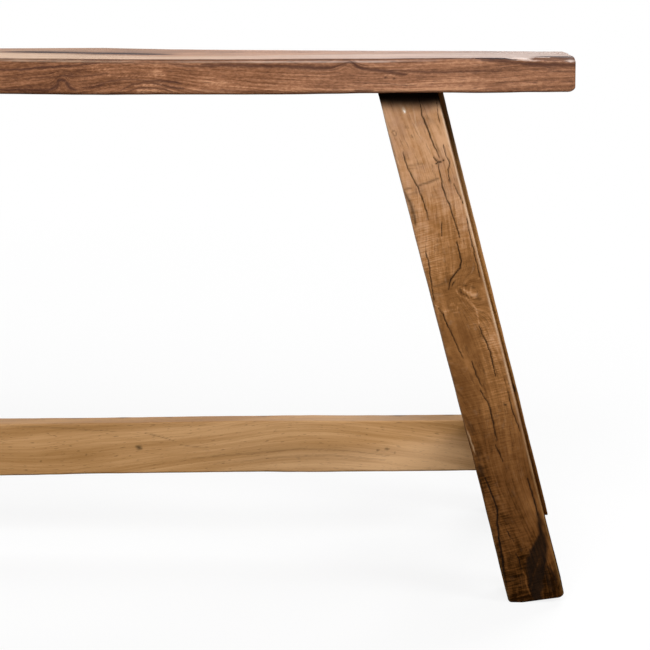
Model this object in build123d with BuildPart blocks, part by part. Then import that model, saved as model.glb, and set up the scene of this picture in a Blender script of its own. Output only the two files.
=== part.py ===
from build123d import *

import os
from math import cos, radians, sin, tan

# A rustic teak bench: a thick plank seat on two end frames of splayed square legs,
# tied together low down by one long stretcher. All sizes are millimetres and degrees.
# X runs along the bench, Y from front to back, Z up; the origin is on the floor, centred.

# Overall sizes
bench_height = 450
leg_splay = 14.5

# Seat plank: its ends are sawn a little out of square, so the back edge is longer
seat_length = 1500
seat_depth = 340
seat_thickness = 27.5
seat_end_skew = 14
seat_corner_cut = 4
seat_top_arris = 2
seat_bottom_arris = 3.5

# Chip worn off the front right corner of the seat
chip_length = 62
chip_drop = 3.6
chip_depth = 52

# Legs: square posts cut level at the seat and at the floor
leg_width = 47
leg_depth = 48
leg_arris = 2.5
leg_end_overhang = 108
leg_front_inset = 12

# Worn soles: a flat to stand on, then a heel worn upwards, and knocked-off corners
sole_flat = 16
heel_corner_cut = 3.5
toe_corner_cut = 1.5
heel_rise_front_right = 4.5
heel_rise_rear_right = 3
heel_rise_front_left = 3.5
heel_rise_rear_left = 4

# Cross rails between the front and rear leg of each end frame
rail_thickness = 30
rail_arris = 2
lower_rail_height = 48
top_rail_height = 60

# Tenons of the cross rails, pegged through the legs
rail_tenon_thickness = 12
rail_tenon_length = 32
rail_tenon_shoulder = 7
top_tenon_height = 32
top_tenon_haunch = 14
mortise_end_room = 2
tenon_clearance = 0.2
peg_diameter = 8
peg_setback = 14
peg_clearance = 0.1

# Stretcher: a board that has sagged a little, with wedged tenons through the lower rails
stretcher_height = 47
stretcher_thickness = 25
stretcher_top_z = 122
stretcher_sag = 8
stretcher_arris = 2
stretcher_tenon_height = 28
stretcher_tenon_thickness = 14
wedge_depth = 24
wedge_butt = 3.2
wedge_tip = 0.8
wedge_clearance = 0.1

# Dowels that locate the seat on the leg tops
dowel_diameter = 10
dowel_length = 38
dowel_in_seat = 15
dowel_from_outer_face = 15
dowel_from_leg_face = 17
dowel_clearance = 0.1
dowel_end_room = 1

# Screws that hold the seat, driven up through the top rails
screw_count = 2
screw_pitch = 120
screw_diameter = 4.5
screw_length = 50
screw_in_seat = 19
screw_tip_length = 5
screw_head_diameter = 9
screw_head_height = 3
screw_clearance = 0.25
screw_bore_diameter = 11

# Derived places shared by the pieces
splay_cos = cos(radians(leg_splay))
splay_sin = sin(radians(leg_splay))
splay_tan = tan(radians(leg_splay))
sides = {"left": -1, "right": 1}
leg_top_z = bench_height - seat_thickness
leg_level_width = leg_width / splay_cos
leg_face_y = seat_depth / 2 - leg_front_inset
leg_centre_y = leg_face_y - leg_depth / 2
shoulder_y = leg_face_y - leg_depth
foot_outer_x = seat_length / 2 - leg_end_overhang + leg_top_z * splay_tan
foot_inner_x = foot_outer_x - leg_level_width
stretcher_centre_z = stretcher_top_z - stretcher_height / 2
rail_centre_out = rail_thickness / 2
lower_rail_up = stretcher_centre_z / splay_cos
top_rail_up = (leg_top_z - rail_centre_out * splay_sin) / splay_cos
top_rail_bottom_up = top_rail_up - top_rail_height
top_tenon_up = top_rail_up - top_tenon_haunch - top_tenon_height / 2
lower_tenon_height = lower_rail_height - 2 * rail_tenon_shoulder
peg_y = shoulder_y + peg_setback
screw_head_up = top_rail_up - (screw_length - screw_in_seat)
screw_bore_depth = screw_head_up - top_rail_bottom_up
screw_places = [(place - (screw_count - 1) / 2) * screw_pitch for place in range(screw_count)]


def inner_x(height):
    """Distance from the middle of the bench to the legs' inner faces at a height."""
    return foot_inner_x - height * splay_tan


def frame_point(side, out, up):
    """X and Z of a point measured out from the legs' inner face and up along the leg."""
    return side * (foot_inner_x + out * splay_cos - up * splay_sin), out * splay_sin + up * splay_cos


def cross_plane(side, out, up, y):
    """Plane square to the width of a leg, facing out of its outer side."""
    x, z = frame_point(side, out, up)
    return Plane(origin=(x, y, z), x_dir=(0, 1, 0), z_dir=(side * splay_cos, 0, splay_sin))


def down_plane(side, out, up, y):
    """Plane square to the length of a leg, facing down towards its foot."""
    x, z = frame_point(side, out, up)
    return Plane(origin=(x, y, z), x_dir=(0, 1, 0), z_dir=(side * splay_sin, 0, -splay_cos))


def peg_planes(side, end):
    """Outer ends of the two peg holes in one leg, at the top rail and at the lower rail."""
    return [cross_plane(side, leg_width, up, end * peg_y) for up in (top_tenon_up, lower_rail_up)]


def screw_planes(side, up):
    """Places of one rail's seat screws at a height along the leg, facing down."""
    return [down_plane(side, rail_centre_out, up, y) for y in screw_places]


def dowel_point(side, end, height):
    """Centre of one leg's dowel at a height; end is 1 at the back of the bench."""
    x = foot_outer_x - leg_top_z * splay_tan - dowel_from_outer_face
    return side * x, end * (leg_face_y - dowel_from_leg_face), height


def tenon_section(side, up, height, clearance):
    """Section of a rail tenon, or of its mortise when there is a clearance round it."""
    with Locations(frame_point(side, rail_centre_out, up)):
        Rectangle(
            rail_tenon_thickness + 2 * clearance,
            height + 2 * clearance,
            rotation=side * leg_splay,
        )


def save(builder, name):
    """Label a finished piece and write it as its own file."""
    builder.part.label = name
    export_step(builder.part, f"parts/{name}.step")


os.makedirs("parts", exist_ok=True)

# Seat: one plank with eased edges, a worn front right corner and blind holes underneath
with BuildPart() as seat:
    with BuildSketch(Plane.XY.offset(leg_top_z)):
        with BuildLine():
            Polyline(
                (-seat_length / 2, -seat_depth / 2),
                (seat_length / 2, -seat_depth / 2),
                (seat_length / 2 + seat_end_skew, seat_depth / 2),
                (-seat_length / 2 - seat_end_skew, seat_depth / 2),
                close=True,
            )
        make_face()
    extrude(amount=seat_thickness)
    chamfer(seat.edges().filter_by(Axis.Z), length=seat_corner_cut)
    fillet(seat.faces().sort_by(Axis.Z)[-1].edges(), radius=seat_top_arris)
    fillet(seat.faces().sort_by(Axis.Z)[0].edges(), radius=seat_bottom_arris)
    chip_start = Vector(seat_length / 2 - chip_length, -seat_depth / 2, bench_height)
    chip_along = Vector(chip_length, 0, -chip_drop)
    chip_across = Vector(chip_length, chip_depth, 0)
    split(bisect_by=Plane(origin=chip_start, z_dir=chip_along.cross(chip_across)), keep=Keep.BOTTOM)
    for side in sides.values():
        for end in sides.values():
            with Locations(Plane(origin=dowel_point(side, end, leg_top_z), z_dir=(0, 0, -1))):
                Hole(radius=dowel_diameter / 2 + dowel_clearance, depth=dowel_in_seat + dowel_end_room)
        with Locations(*screw_planes(side, top_rail_up - screw_diameter)):
            Hole(
                radius=screw_diameter / 2 + screw_clearance,
                depth=screw_diameter + screw_in_seat + screw_clearance,
            )
save(seat, "seat")


def build_leg(side, end, heel_rise):
    """One leg; side is 1 on the right of the bench and end is 1 at its back."""
    with BuildPart() as leg:
        with BuildSketch(Plane.XZ.offset(-end * leg_centre_y)):
            with BuildLine():
                Polyline(
                    (side * inner_x(leg_top_z), leg_top_z),
                    (side * (inner_x(leg_top_z) + leg_level_width), leg_top_z),
                    (side * (inner_x(heel_rise) + leg_level_width), heel_rise),
                    (side * (foot_inner_x + sole_flat), 0),
                    (side * foot_inner_x, 0),
                    close=True,
                )
            make_face()
            chamfer(vertices().sort_by_distance((side * foot_outer_x, 0))[0], heel_corner_cut)
            chamfer(vertices().sort_by_distance((side * foot_inner_x, 0))[0], toe_corner_cut)
        extrude(amount=leg_depth / 2, both=True)
        along_leg = Axis((0, 0, 0), (side * splay_sin, 0, -splay_cos))
        fillet(leg.edges().filter_by(along_leg), radius=leg_arris)
        with BuildSketch(Plane.XZ.offset(-end * shoulder_y)):
            tenon_section(side, top_tenon_up, top_tenon_height, tenon_clearance)
            tenon_section(side, lower_rail_up, lower_tenon_height, tenon_clearance)
        extrude(amount=-end * (rail_tenon_length + mortise_end_room), mode=Mode.SUBTRACT)
        with Locations(*peg_planes(side, end)):
            Hole(radius=peg_diameter / 2 + peg_clearance)
        with Locations(dowel_point(side, end, leg_top_z)):
            Hole(
                radius=dowel_diameter / 2 + dowel_clearance,
                depth=dowel_length - dowel_in_seat + dowel_end_room,
            )
    return leg


# Legs: the same post four times, each with its own worn heel
save(build_leg(1, -1, heel_rise_front_right), "leg_front_right")
save(build_leg(1, 1, heel_rise_rear_right), "leg_rear_right")
save(build_leg(-1, -1, heel_rise_front_left), "leg_front_left")
save(build_leg(-1, 1, heel_rise_rear_left), "leg_rear_left")


def build_top_rail(side):
    """Top rail: its sides lean with the legs and its top edge is planed level with them."""
    with BuildPart() as rail:
        with BuildSketch(Plane.XZ):
            with BuildLine():
                Polyline(
                    (side * inner_x(leg_top_z), leg_top_z),
                    (side * (inner_x(leg_top_z) + rail_thickness / splay_cos), leg_top_z),
                    frame_point(side, rail_thickness, top_rail_bottom_up),
                    frame_point(side, 0, top_rail_bottom_up),
                    close=True,
                )
            make_face()
        extrude(amount=shoulder_y, both=True)
        fillet(rail.faces().sort_by(Axis.Z)[0].edges().filter_by(Axis.Y), radius=rail_arris)
        with BuildSketch(Plane.XZ):
            tenon_section(side, top_tenon_up, top_tenon_height, 0)
        extrude(amount=shoulder_y + rail_tenon_length, both=True)
        with Locations(*screw_planes(side, top_rail_bottom_up)):
            CounterBoreHole(
                radius=screw_diameter / 2 + screw_clearance,
                counter_bore_radius=screw_bore_diameter / 2,
                counter_bore_depth=screw_bore_depth,
            )
        for end in sides.values():
            with Locations(cross_plane(side, leg_width, top_tenon_up, end * peg_y)):
                Hole(radius=peg_diameter / 2 + peg_clearance)
    return rail


def build_lower_rail(side):
    """Lower rail: it leans with the legs and takes the stretcher through a level mortise."""
    with BuildPart() as rail:
        with BuildSketch(Plane.XZ):
            with Locations(frame_point(side, rail_centre_out, lower_rail_up)):
                Rectangle(rail_thickness, lower_rail_height, rotation=side * leg_splay)
        extrude(amount=shoulder_y, both=True)
        fillet(rail.edges().filter_by(Axis.Y), radius=rail_arris)
        with BuildSketch(Plane.XZ):
            tenon_section(side, lower_rail_up, lower_tenon_height, 0)
        extrude(amount=shoulder_y + rail_tenon_length, both=True)
        with BuildSketch(Plane.YZ.offset(side * inner_x(stretcher_centre_z))):
            with Locations((0, stretcher_centre_z)):
                Rectangle(
                    stretcher_tenon_thickness + 2 * tenon_clearance,
                    stretcher_tenon_height + 2 * tenon_clearance,
                )
        extrude(amount=leg_level_width, both=True, mode=Mode.SUBTRACT)
        for end in sides.values():
            with Locations(cross_plane(side, leg_width, lower_rail_up, end * peg_y)):
                Hole(radius=peg_diameter / 2 + peg_clearance)
    return rail


for side_name, side in sides.items():
    save(build_top_rail(side), f"top_rail_{side_name}")
    save(build_lower_rail(side), f"lower_rail_{side_name}")

# Stretcher: square shoulders meet the leaning rails along their top edge only,
# and the tenons run through the rails and are trimmed flush with their outer faces
shoulder_x = inner_x(stretcher_top_z)
stretcher_bottom_z = stretcher_top_z - stretcher_height
tenon_top_z = stretcher_centre_z + stretcher_tenon_height / 2
tenon_bottom_z = stretcher_centre_z - stretcher_tenon_height / 2
rail_level_thickness = rail_thickness / splay_cos


def tenon_end_x(height):
    """Distance from the middle of the bench to the lower rail's outer face at a height."""
    return inner_x(height) + rail_level_thickness


def wedge_outline(side, clearance):
    """Plan of one wedge, from its tip inside the tenon to past the tenon's end."""
    tip_x = tenon_end_x(stretcher_centre_z) - wedge_depth
    butt_x = tenon_end_x(tenon_bottom_z)
    Polygon(
        (side * (tip_x - clearance), wedge_tip / 2 + clearance),
        (side * butt_x, wedge_butt / 2 + clearance),
        (side * butt_x, -wedge_butt / 2 - clearance),
        (side * (tip_x - clearance), -wedge_tip / 2 - clearance),
        align=None,
    )


with BuildPart() as stretcher:
    with BuildSketch(Plane.XZ):
        with BuildLine():
            top_edge = ThreePointArc(
                (-shoulder_x, stretcher_top_z),
                (0, stretcher_top_z - stretcher_sag),
                (shoulder_x, stretcher_top_z),
            )
            bottom_edge = ThreePointArc(
                (-shoulder_x, stretcher_bottom_z),
                (0, stretcher_bottom_z - stretcher_sag),
                (shoulder_x, stretcher_bottom_z),
            )
            Line(top_edge @ 0, bottom_edge @ 0)
            Line(top_edge @ 1, bottom_edge @ 1)
        make_face()
    extrude(amount=stretcher_thickness / 2, both=True)
    fillet(stretcher.edges().filter_by(GeomType.CIRCLE), radius=stretcher_arris)
    with BuildSketch(Plane.XZ):
        for side in sides.values():
            with BuildLine():
                Polyline(
                    (side * shoulder_x, tenon_top_z),
                    (side * tenon_end_x(tenon_top_z), tenon_top_z),
                    (side * tenon_end_x(tenon_bottom_z), tenon_bottom_z),
                    (side * shoulder_x, tenon_bottom_z),
                    close=True,
                )
            make_face()
    extrude(amount=stretcher_tenon_thickness / 2, both=True)
    with BuildSketch(Plane.XY.offset(stretcher_bottom_z)):
        for side in sides.values():
            wedge_outline(side, wedge_clearance)
    extrude(amount=stretcher_height, mode=Mode.SUBTRACT)
save(stretcher, "stretcher")

# Wedges: driven into the sawn ends of the stretcher's tenons and trimmed flush
with BuildPart() as stretcher_wedges:
    with BuildSketch(Plane.XY.offset(tenon_bottom_z)):
        for side in sides.values():
            wedge_outline(side, 0)
    extrude(amount=stretcher_tenon_height)
    with BuildSketch(Plane.XZ):
        with BuildLine():
            Polyline(
                (tenon_end_x(tenon_top_z), tenon_top_z),
                (tenon_end_x(tenon_bottom_z), tenon_bottom_z),
                (-tenon_end_x(tenon_bottom_z), tenon_bottom_z),
                (-tenon_end_x(tenon_top_z), tenon_top_z),
                close=True,
            )
        make_face()
    extrude(amount=stretcher_thickness, both=True, mode=Mode.INTERSECT)
save(stretcher_wedges, "stretcher_wedges")

# Pegs: turned pins through the legs and the rail tenons, cut flush on both sides
with BuildPart() as rail_pegs:
    for side in sides.values():
        for end in sides.values():
            with Locations(*peg_planes(side, end)):
                Cylinder(peg_diameter / 2, leg_width, align=(Align.CENTER, Align.CENTER, Align.MAX))
save(rail_pegs, "rail_pegs")

# Dowels: short pins half in the leg tops and half in the seat
with BuildPart() as leg_dowels:
    for side in sides.values():
        for end in sides.values():
            with Locations(dowel_point(side, end, leg_top_z + dowel_in_seat)):
                Cylinder(
                    dowel_diameter / 2,
                    dowel_length,
                    align=(Align.CENTER, Align.CENTER, Align.MAX),
                )
save(leg_dowels, "leg_dowels")

# Screws: plain shanks with flat heads that seat at the bottom of the rails' deep bores
with BuildPart() as seat_screws:
    for side in sides.values():
        with Locations(*screw_planes(side, screw_head_up)):
            Cylinder(
                screw_head_diameter / 2,
                screw_head_height,
                align=(Align.CENTER, Align.CENTER, Align.MIN),
            )
            Cylinder(
                screw_diameter / 2,
                screw_length - screw_tip_length,
                align=(Align.CENTER, Align.CENTER, Align.MAX),
            )
        with Locations(*screw_planes(side, screw_head_up + screw_length - screw_tip_length)):
            Cone(
                screw_diameter / 2,
                0,
                screw_tip_length,
                rotation=(180, 0, 0),
                align=(Align.CENTER, Align.CENTER, Align.MIN),
            )
save(seat_screws, "seat_screws")
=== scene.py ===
from math import cos, pi, radians, sin, tan

import bpy
import numpy as np
from mathutils import Matrix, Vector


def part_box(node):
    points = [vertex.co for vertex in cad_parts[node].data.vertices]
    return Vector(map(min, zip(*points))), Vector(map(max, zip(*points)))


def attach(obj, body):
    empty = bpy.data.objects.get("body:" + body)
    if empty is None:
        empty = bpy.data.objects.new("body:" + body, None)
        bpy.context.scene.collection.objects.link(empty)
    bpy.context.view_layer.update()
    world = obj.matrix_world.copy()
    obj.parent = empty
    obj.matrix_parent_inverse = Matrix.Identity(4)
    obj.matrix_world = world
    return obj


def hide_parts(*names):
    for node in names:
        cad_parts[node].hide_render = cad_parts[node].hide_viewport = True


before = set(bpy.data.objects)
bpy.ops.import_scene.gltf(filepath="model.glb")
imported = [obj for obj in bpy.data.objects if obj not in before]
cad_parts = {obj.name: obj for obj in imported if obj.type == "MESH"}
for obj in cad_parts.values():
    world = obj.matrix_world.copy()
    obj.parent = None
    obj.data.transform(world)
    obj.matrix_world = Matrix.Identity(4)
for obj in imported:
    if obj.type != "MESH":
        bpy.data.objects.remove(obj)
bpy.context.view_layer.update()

# Camera: a long lens at a little over seat height, in front of the right half of the
# bench, turned slightly to the left and tipped down. Its place was found by matching the
# bench's own edges.
camera_place = (0.6446, -1.6305, 0.4867)
camera_turn = radians(3.623)
camera_dip = radians(9.761)
camera_roll = radians(-0.351)
camera_lens = 101.97
camera_sensor = 36

camera_data = bpy.data.cameras.new("camera")
camera_data.lens = camera_lens
camera_data.sensor_width = camera_sensor
camera = bpy.data.objects.new("camera", camera_data)
camera.matrix_world = (
    Matrix.Translation(camera_place)
    @ Matrix.Rotation(camera_turn, 4, "Z")
    @ Matrix.Rotation(radians(90) - camera_dip, 4, "X")
    @ Matrix.Rotation(camera_roll, 4, "Z")
)
bpy.context.scene.collection.objects.link(camera)
bpy.context.scene.camera = camera
bpy.context.scene.view_settings.view_transform = "Standard"

# Seat: one thick old teak plank, planed and oiled, with a worn front edge, a corner that
# has chipped off and a slight twist. Dowels locate it on the leg tops, and screws driven
# up through the top rails hold it.
mm = 0.001
seat_low, seat_high = (np.array(corner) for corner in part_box("seat"))
seat_length = 1500 * mm
seat_half = seat_length / 2
seat_depth = seat_high[1] - seat_low[1]
seat_skew = (seat_high[0] - seat_low[0] - seat_length) / 2
seat_drop = 2 * mm
seat_back_fall = 5 * mm
seat_fall_start = 250 * mm
seat_edge_radius = np.array([3, 3, 2]) * mm
seat_bottom_radius = np.array([7.5, 3, 3.5]) * mm
chip_start = 62 * mm
chip_drop = 4.2 * mm
chip_depth = 50 * mm
# Where the fine columns of its lattice begin and end, and the lattice's steps
fine_from = 262 * mm
fine_to = 738 * mm
fine_step = 1.4 * mm
plain_step = 8 * mm
row_step = 9.5 * mm
layer_step = 0.6 * mm


def lattice(columns, rows, layers):
    """Closed skin of a box: each crossing of the three sets of lines that lies on a face of
    the box, and the quads between neighbouring crossings, facing outwards."""
    counts = (len(columns), len(rows), len(layers))
    place = np.indices(counts)
    last = np.reshape(counts, (3, 1, 1, 1)) - 1
    on_face = ((place == 0) | (place == last)).any(axis=0)
    number = np.full(counts, -1)
    number[on_face] = np.arange(on_face.sum())
    lines = zip((columns, rows, layers), place)
    points = np.stack([line[index[on_face]] for line, index in lines], axis=1)
    quads = []
    for axis in range(3):
        for end in (0, -1):
            sheet = np.take(number, end, axis=axis)
            corners = (sheet[:-1, :-1], sheet[1:, :-1], sheet[1:, 1:], sheet[:-1, 1:])
            quad = np.stack(corners, axis=-1).reshape(-1, 4)
            inwards = (end == 0) != (axis == 1)
            quads.append(quad[:, ::-1] if inwards else quad)
    return points, np.concatenate(quads)


def lines_between(low, high, step, edge):
    """Places of lattice lines: crowded within an edge's radius of both faces, evenly spaced
    by about one step between."""
    crowd = edge * np.array([0, 0.3, 0.65])
    count = round((high - low - 2 * edge) / step) + 1
    middle = np.linspace(low + edge, high - edge, count)
    return np.concatenate([low + crowd, middle, high - crowd[::-1]])


def soften(points, low, high, radius):
    """Rounds a box's edges. A point near an edge keeps its direction from the box shrunk by
    the radius, and its distance, measured to the nearest face, becomes a round one.
    Also gives that direction, which is the way the skin faces."""
    core = np.clip(points, low + radius, high - radius)
    away = (points - core) / radius
    reach = np.linalg.norm(away, axis=1, keepdims=True)
    square = np.abs(away).max(axis=1, keepdims=True)
    facing = away / np.maximum(reach, 1e-9)
    return core + facing * square * radius, facing


def drift(points, span, seed):
    """Smooth unevenness from about -1 to 1: twice the mean of eight sine waves in random
    directions, each around one span long."""
    chance = np.random.default_rng(seed)
    ways = chance.normal(size=(points.shape[1], 8))
    ways *= chance.uniform(0.5, 1.5, 8) / np.linalg.norm(ways, axis=0)
    turns = points / span @ ways + chance.uniform(0, 1, 8)
    return 2 * np.sin(2 * pi * turns).mean(axis=1)


def bell(gap, width):
    """Share that falls from 1 to 0 on both sides: a bell curve, e to the power of minus the
    square of the gap over the width."""
    return np.exp(-((gap / width) ** 2))


def read_off(places, table):
    """A value at each place, on straight lines between a table's places and their values."""
    return np.interp(places, list(table), list(table.values()))


def patch(places, across, height, spread, spread_up):
    """Share from 0 to 1 of a soft oval patch over flat places: one bell times another."""
    return bell(places[:, 0] - across, spread) * bell(places[:, 1] - height, spread_up)


def stroke(places, line, half_width, tail=0.35):
    """Share from 0 to 1 of a brush line over flat places: a bell of the distance to the
    line through its points, thinner towards both of its ends."""
    line = np.array(line, float)
    nearest = np.full(len(places), np.inf)
    share = np.zeros(len(places))
    for number, (start, end) in enumerate(zip(line[:-1], line[1:])):
        way = end - start
        part = np.clip((places - start) @ way / (way @ way), 0, 1)
        gap = np.linalg.norm(places - start - part[:, None] * way, axis=1)
        closer = gap < nearest
        nearest = np.where(closer, gap, nearest)
        share = np.where(closer, (number + part) / (len(line) - 1), share)
    width = half_width * (tail + (1 - tail) * np.sin(pi * share) ** 0.6)
    return bell(nearest, width)


def painted(places, marks, tail=0.35, blend=np.max):
    """All the marks of one kind over flat places: the strongest at each place, or their sum.
    A mark is a brush line with its half width and its strength."""
    layers = [strength * stroke(places, line, width, tail) for line, width, strength in marks]
    return blend([np.zeros(len(places)), *layers], axis=0)


def make_piece(name, points, quads, fields, finish, node):
    """A smooth-shaded piece that stands for a node, with a value at each point for each
    field that its finish reads."""
    mesh = bpy.data.meshes.new(name)
    mesh.from_pydata(points.tolist(), [], quads.tolist())
    for field, values in fields.items():
        attribute = mesh.attributes.new(field, "FLOAT", "POINT")
        attribute.data.foreach_set("value", np.ascontiguousarray(values, np.float32))
    mesh.shade_smooth()
    mesh.materials.append(finish)
    piece = bpy.data.objects.new(name, mesh)
    bpy.context.scene.collection.objects.link(piece)
    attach(piece, "root")
    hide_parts(node)
    return piece


class Wire:
    """A socket of a material. Sums, products and powers of wires add Math nodes."""

    def __init__(self, tree, socket=None):
        self.tree = tree
        self.socket = socket

    def node(self, kind, settings=None, values=None, output=0):
        """Adds a shader node: its settings first, then the values or wires of its sockets."""
        node = self.tree.nodes.new("ShaderNode" + kind)
        for name, setting in (settings or {}).items():
            if name == "stops":
                for number, (place, colour) in enumerate(setting):
                    stops = node.color_ramp.elements
                    stop = stops[number] if number < 2 else stops.new(place)
                    stop.position = place
                    stop.color = (*colour, 1)
            else:
                setattr(node, name, setting)
        for name, value in (values or {}).items():
            if isinstance(value, Wire):
                self.tree.links.new(value.socket, node.inputs[name])
            else:
                node.inputs[name].default_value = value
        return Wire(self.tree, node.outputs[output] if node.outputs else None)

    def maths(self, operation, *values):
        """Adds a Math node on the values given."""
        return self.node("Math", {"operation": operation}, dict(enumerate(values)))

    def __add__(self, other):
        return self.maths("ADD", self, other)

    __radd__ = __add__

    def __mul__(self, other):
        return self.maths("MULTIPLY", self, other)

    __rmul__ = __mul__

    def __sub__(self, other):
        return self.maths("SUBTRACT", self, other)

    def __rsub__(self, other):
        return self.maths("SUBTRACT", other, self)

    def __truediv__(self, other):
        return self.maths("DIVIDE", self, other)

    def __pow__(self, other):
        return self.maths("POWER", self, other)

    def between(self, low, high):
        """Smooth share from 0 at low to 1 at high."""
        values = {"Value": self, "From Min": low, "From Max": high}
        return self.node("MapRange", {"interpolation_type": "SMOOTHSTEP"}, values)

    def joined(self, x, y, z):
        """Vector of three values."""
        return self.node("CombineXYZ", values={0: x, 1: y, 2: z})

    def noise(self, scale, detail=2.0, roughness=0.5):
        """Noise around a half, on this vector."""
        values = {"Vector": self, "Scale": scale, "Detail": detail, "Roughness": roughness}
        return self.node("TexNoise", values=values)

    def field(self, name):
        """The value of a mesh's own field."""
        return self.node("Attribute", {"attribute_name": name}, output="Fac")

    def tint(self, first, second):
        """Colour between two, where this share is how much of the second."""
        return self.node("Mix", {"data_type": "RGBA"}, {0: self, 6: first, 7: second}, 2)

    def place(self):
        """Object coordinates of the surface, as a vector wire."""
        return self.node("TexCoord", output="Object")

    def part(self, letter):
        """X, Y or Z of this vector."""
        return self.node("SeparateXYZ", values={0: self}, output=letter)


def new_finish(name):
    """An empty material and the wire that its nodes grow from."""
    finish = bpy.data.materials.new(name)
    finish.use_nodes = True
    finish.node_tree.nodes.clear()
    return finish, Wire(finish.node_tree)


def coat(wire, colour, roughness, height, depth, specular=0.5, metallic=0.0):
    """Ends a material: one shader with its bump."""
    normal = wire.node("Bump", values={"Height": height, "Distance": depth})
    values = {
        "Base Color": colour,
        "Roughness": roughness,
        "Metallic": metallic,
        "Specular IOR Level": specular,
        "Normal": normal,
    }
    shader = wire.node("BsdfPrincipled", values=values)
    wire.node("OutputMaterial", values={"Surface": shader})


def grain(wire, growth, along, across):
    """Shares from 0 to 1 of teak's rings, fibres and pores: noise on the distance through
    the growth rings, drawn out along the grain."""
    rings = wire.joined(growth, along * 0.015, across * 0.05).noise(260, 3, 0.65).between(0.34, 0.66)
    fibres = wire.joined(growth, along * 0.035, across * 0.2).noise(760, 3, 0.6).between(0.34, 0.66)
    pores = wire.joined(growth, along * 0.06, across * 0.4).noise(1500, 2).between(0.56, 0.72)
    return rings, fibres, pores


seat_dark = (0.058, 0.020, 0.013, 1)
seat_black = (0.024, 0.014, 0.017, 1)
seat_cream = (0.67, 0.48, 0.340, 1)
seat_pale = (0.68, 0.55, 0.485, 1)
seat_tones = [
    (0.0, (0.105, 0.037, 0.015)),
    (0.3, (0.205, 0.081, 0.034)),
    (0.6, (0.325, 0.138, 0.065)),
    (1.0, (0.560, 0.275, 0.145)),
]
seat_teak, wood = new_finish("seat_teak")
place = wood.place()
growth = wood.field("growth")
rings, fibres, pores = grain(wood, growth, place.part("X"), place.part("Y"))
blotches = wood.joined(place.part("X") * 0.4, place.part("Y"), place.part("Z")).noise(40, 2)
speckle = wood.joined(place.part("X") * 0.5, place.part("Y"), place.part("Z")).noise(640, 2, 0.6)
speckle = speckle.between(0.36, 0.66)
streaks = wood.joined(place.part("X") * 0.04, place.part("Y"), 0).noise(26, 2).between(0.3, 0.7)
tone = rings * 0.32 + fibres * 0.34 + blotches.between(0.3, 0.7) * 0.20 + speckle * 0.22
tone = tone + streaks * 0.14 + wood.field("shade") - 0.06
colour = tone.node("ValToRGB", {"stops": seat_tones}, {0: tone})
colour = (pores * 0.5).tint(colour, seat_dark)
bleached = place.part("X").between(0.38, 0.60).tint(seat_cream, seat_pale)
colour = (wood.field("pale") * (0.7 + fibres * 0.3)).tint(colour, bleached)
colour = (wood.field("dark") * (0.8 + fibres * 0.2)).tint(colour, seat_dark)
colour = wood.field("black").tint(colour, seat_black)
sheen = 0.5 + pores * 0.12 + speckle * 0.08 + wood.field("black") * 0.3 + wood.field("rough") * 0.4
relief = fibres * 0.4 + rings * 0.3 + speckle * 0.5 - pores * 0.8
coat(wood, colour, sheen, relief, 0.12 * mm, specular=0.15)

# Streaks on the front edge, as (along, height) in mm with a half width in mm and a strength
front_streaks = [
    ([(280, 440), (310, 440), (321, 441), (331, 442), (347, 442.5), (358, 443.5), (375, 445.5)], 1.0, 0.95),
    ([(319, 433.5), (334, 434), (346, 435), (361, 434.5), (374, 436), (382, 437)], 0.7, 0.6),
    ([(250, 424), (318, 424), (328, 423.2), (334, 424), (337, 425.5)], 1.1, 0.95),
    ([(334, 424), (337, 425.8), (340, 428), (340.6, 430.5)], 1.9, 0.8),
    ([(339.5, 429.5), (341, 431.2), (343.5, 431.8), (346, 431.2), (347.5, 429.5)], 1.1, 1.0),
    ([(346.6, 430.5), (348, 428), (350, 425.5), (355, 423.3)], 1.7, 0.9),
    ([(360, 425.5), (369, 426.5), (377, 429), (384, 430.5), (393, 432), (413, 431)], 0.8, 0.65),
    ([(408, 430.8), (425, 430.5), (433, 429.5), (440, 428.3)], 1.0, 0.9),
    ([(390, 423), (400, 428), (410, 429.5), (418, 428.7)], 0.8, 0.7),
    ([(416, 428.6), (425, 427.5), (430, 426), (436, 424.8), (442, 424)], 1.0, 0.9),
    ([(396, 422.5), (404, 425), (411, 425.5), (419, 425), (427, 424), (432, 422)], 0.8, 0.75),
    ([(430, 444), (443, 442.5), (457, 441.8), (478, 442.3)], 0.9, 0.85),
    ([(455, 443.3), (478, 442.6), (506, 442.0), (530, 441.4)], 1.8, 0.8),
    ([(360, 445.3), (404, 445.0), (440, 444.8)], 0.9, 0.6),
    ([(520, 441.6), (540, 440.8), (552, 440.2), (559, 440.8)], 2.1, 0.85),
    ([(556, 440.6), (565, 442.2), (570, 444.2), (574, 445.6)], 1.0, 0.8),
    ([(574, 445.4), (577, 443), (580, 440.8), (584, 439)], 1.5, 0.95),
    ([(578, 441), (589, 439), (597, 438), (607, 436.5), (618, 434.8)], 1.7, 0.85),
    ([(597, 438.5), (612, 438), (627, 437), (643, 436.6), (659, 437), (675, 437.5), (692, 437)], 1.0, 0.75),
    ([(575, 429), (601, 428), (612, 427), (625, 426.5)], 0.6, 0.6),
    ([(605, 444.6), (635, 444)], 0.6, 0.6),
    ([(676, 446), (693, 445), (702, 444), (712, 443)], 1.6, 0.85),
    ([(706, 443.1), (726, 442.3), (750, 442.0)], 2.3, 0.9),
    ([(727, 437), (750, 437)], 0.6, 0.8),
    ([(737, 429), (749, 429)], 0.6, 0.7),
    ([(440, 422.7), (520, 422.5)], 0.8, 0.55),
    ([(576, 422.7), (592, 422.5)], 0.8, 0.7),
]
# The black line where the front's top edge begins to break away, as the streaks
front_black = [([(672, 447.4), (690, 447.2), (704, 446.2)], 0.6, 1.0)]
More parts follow.
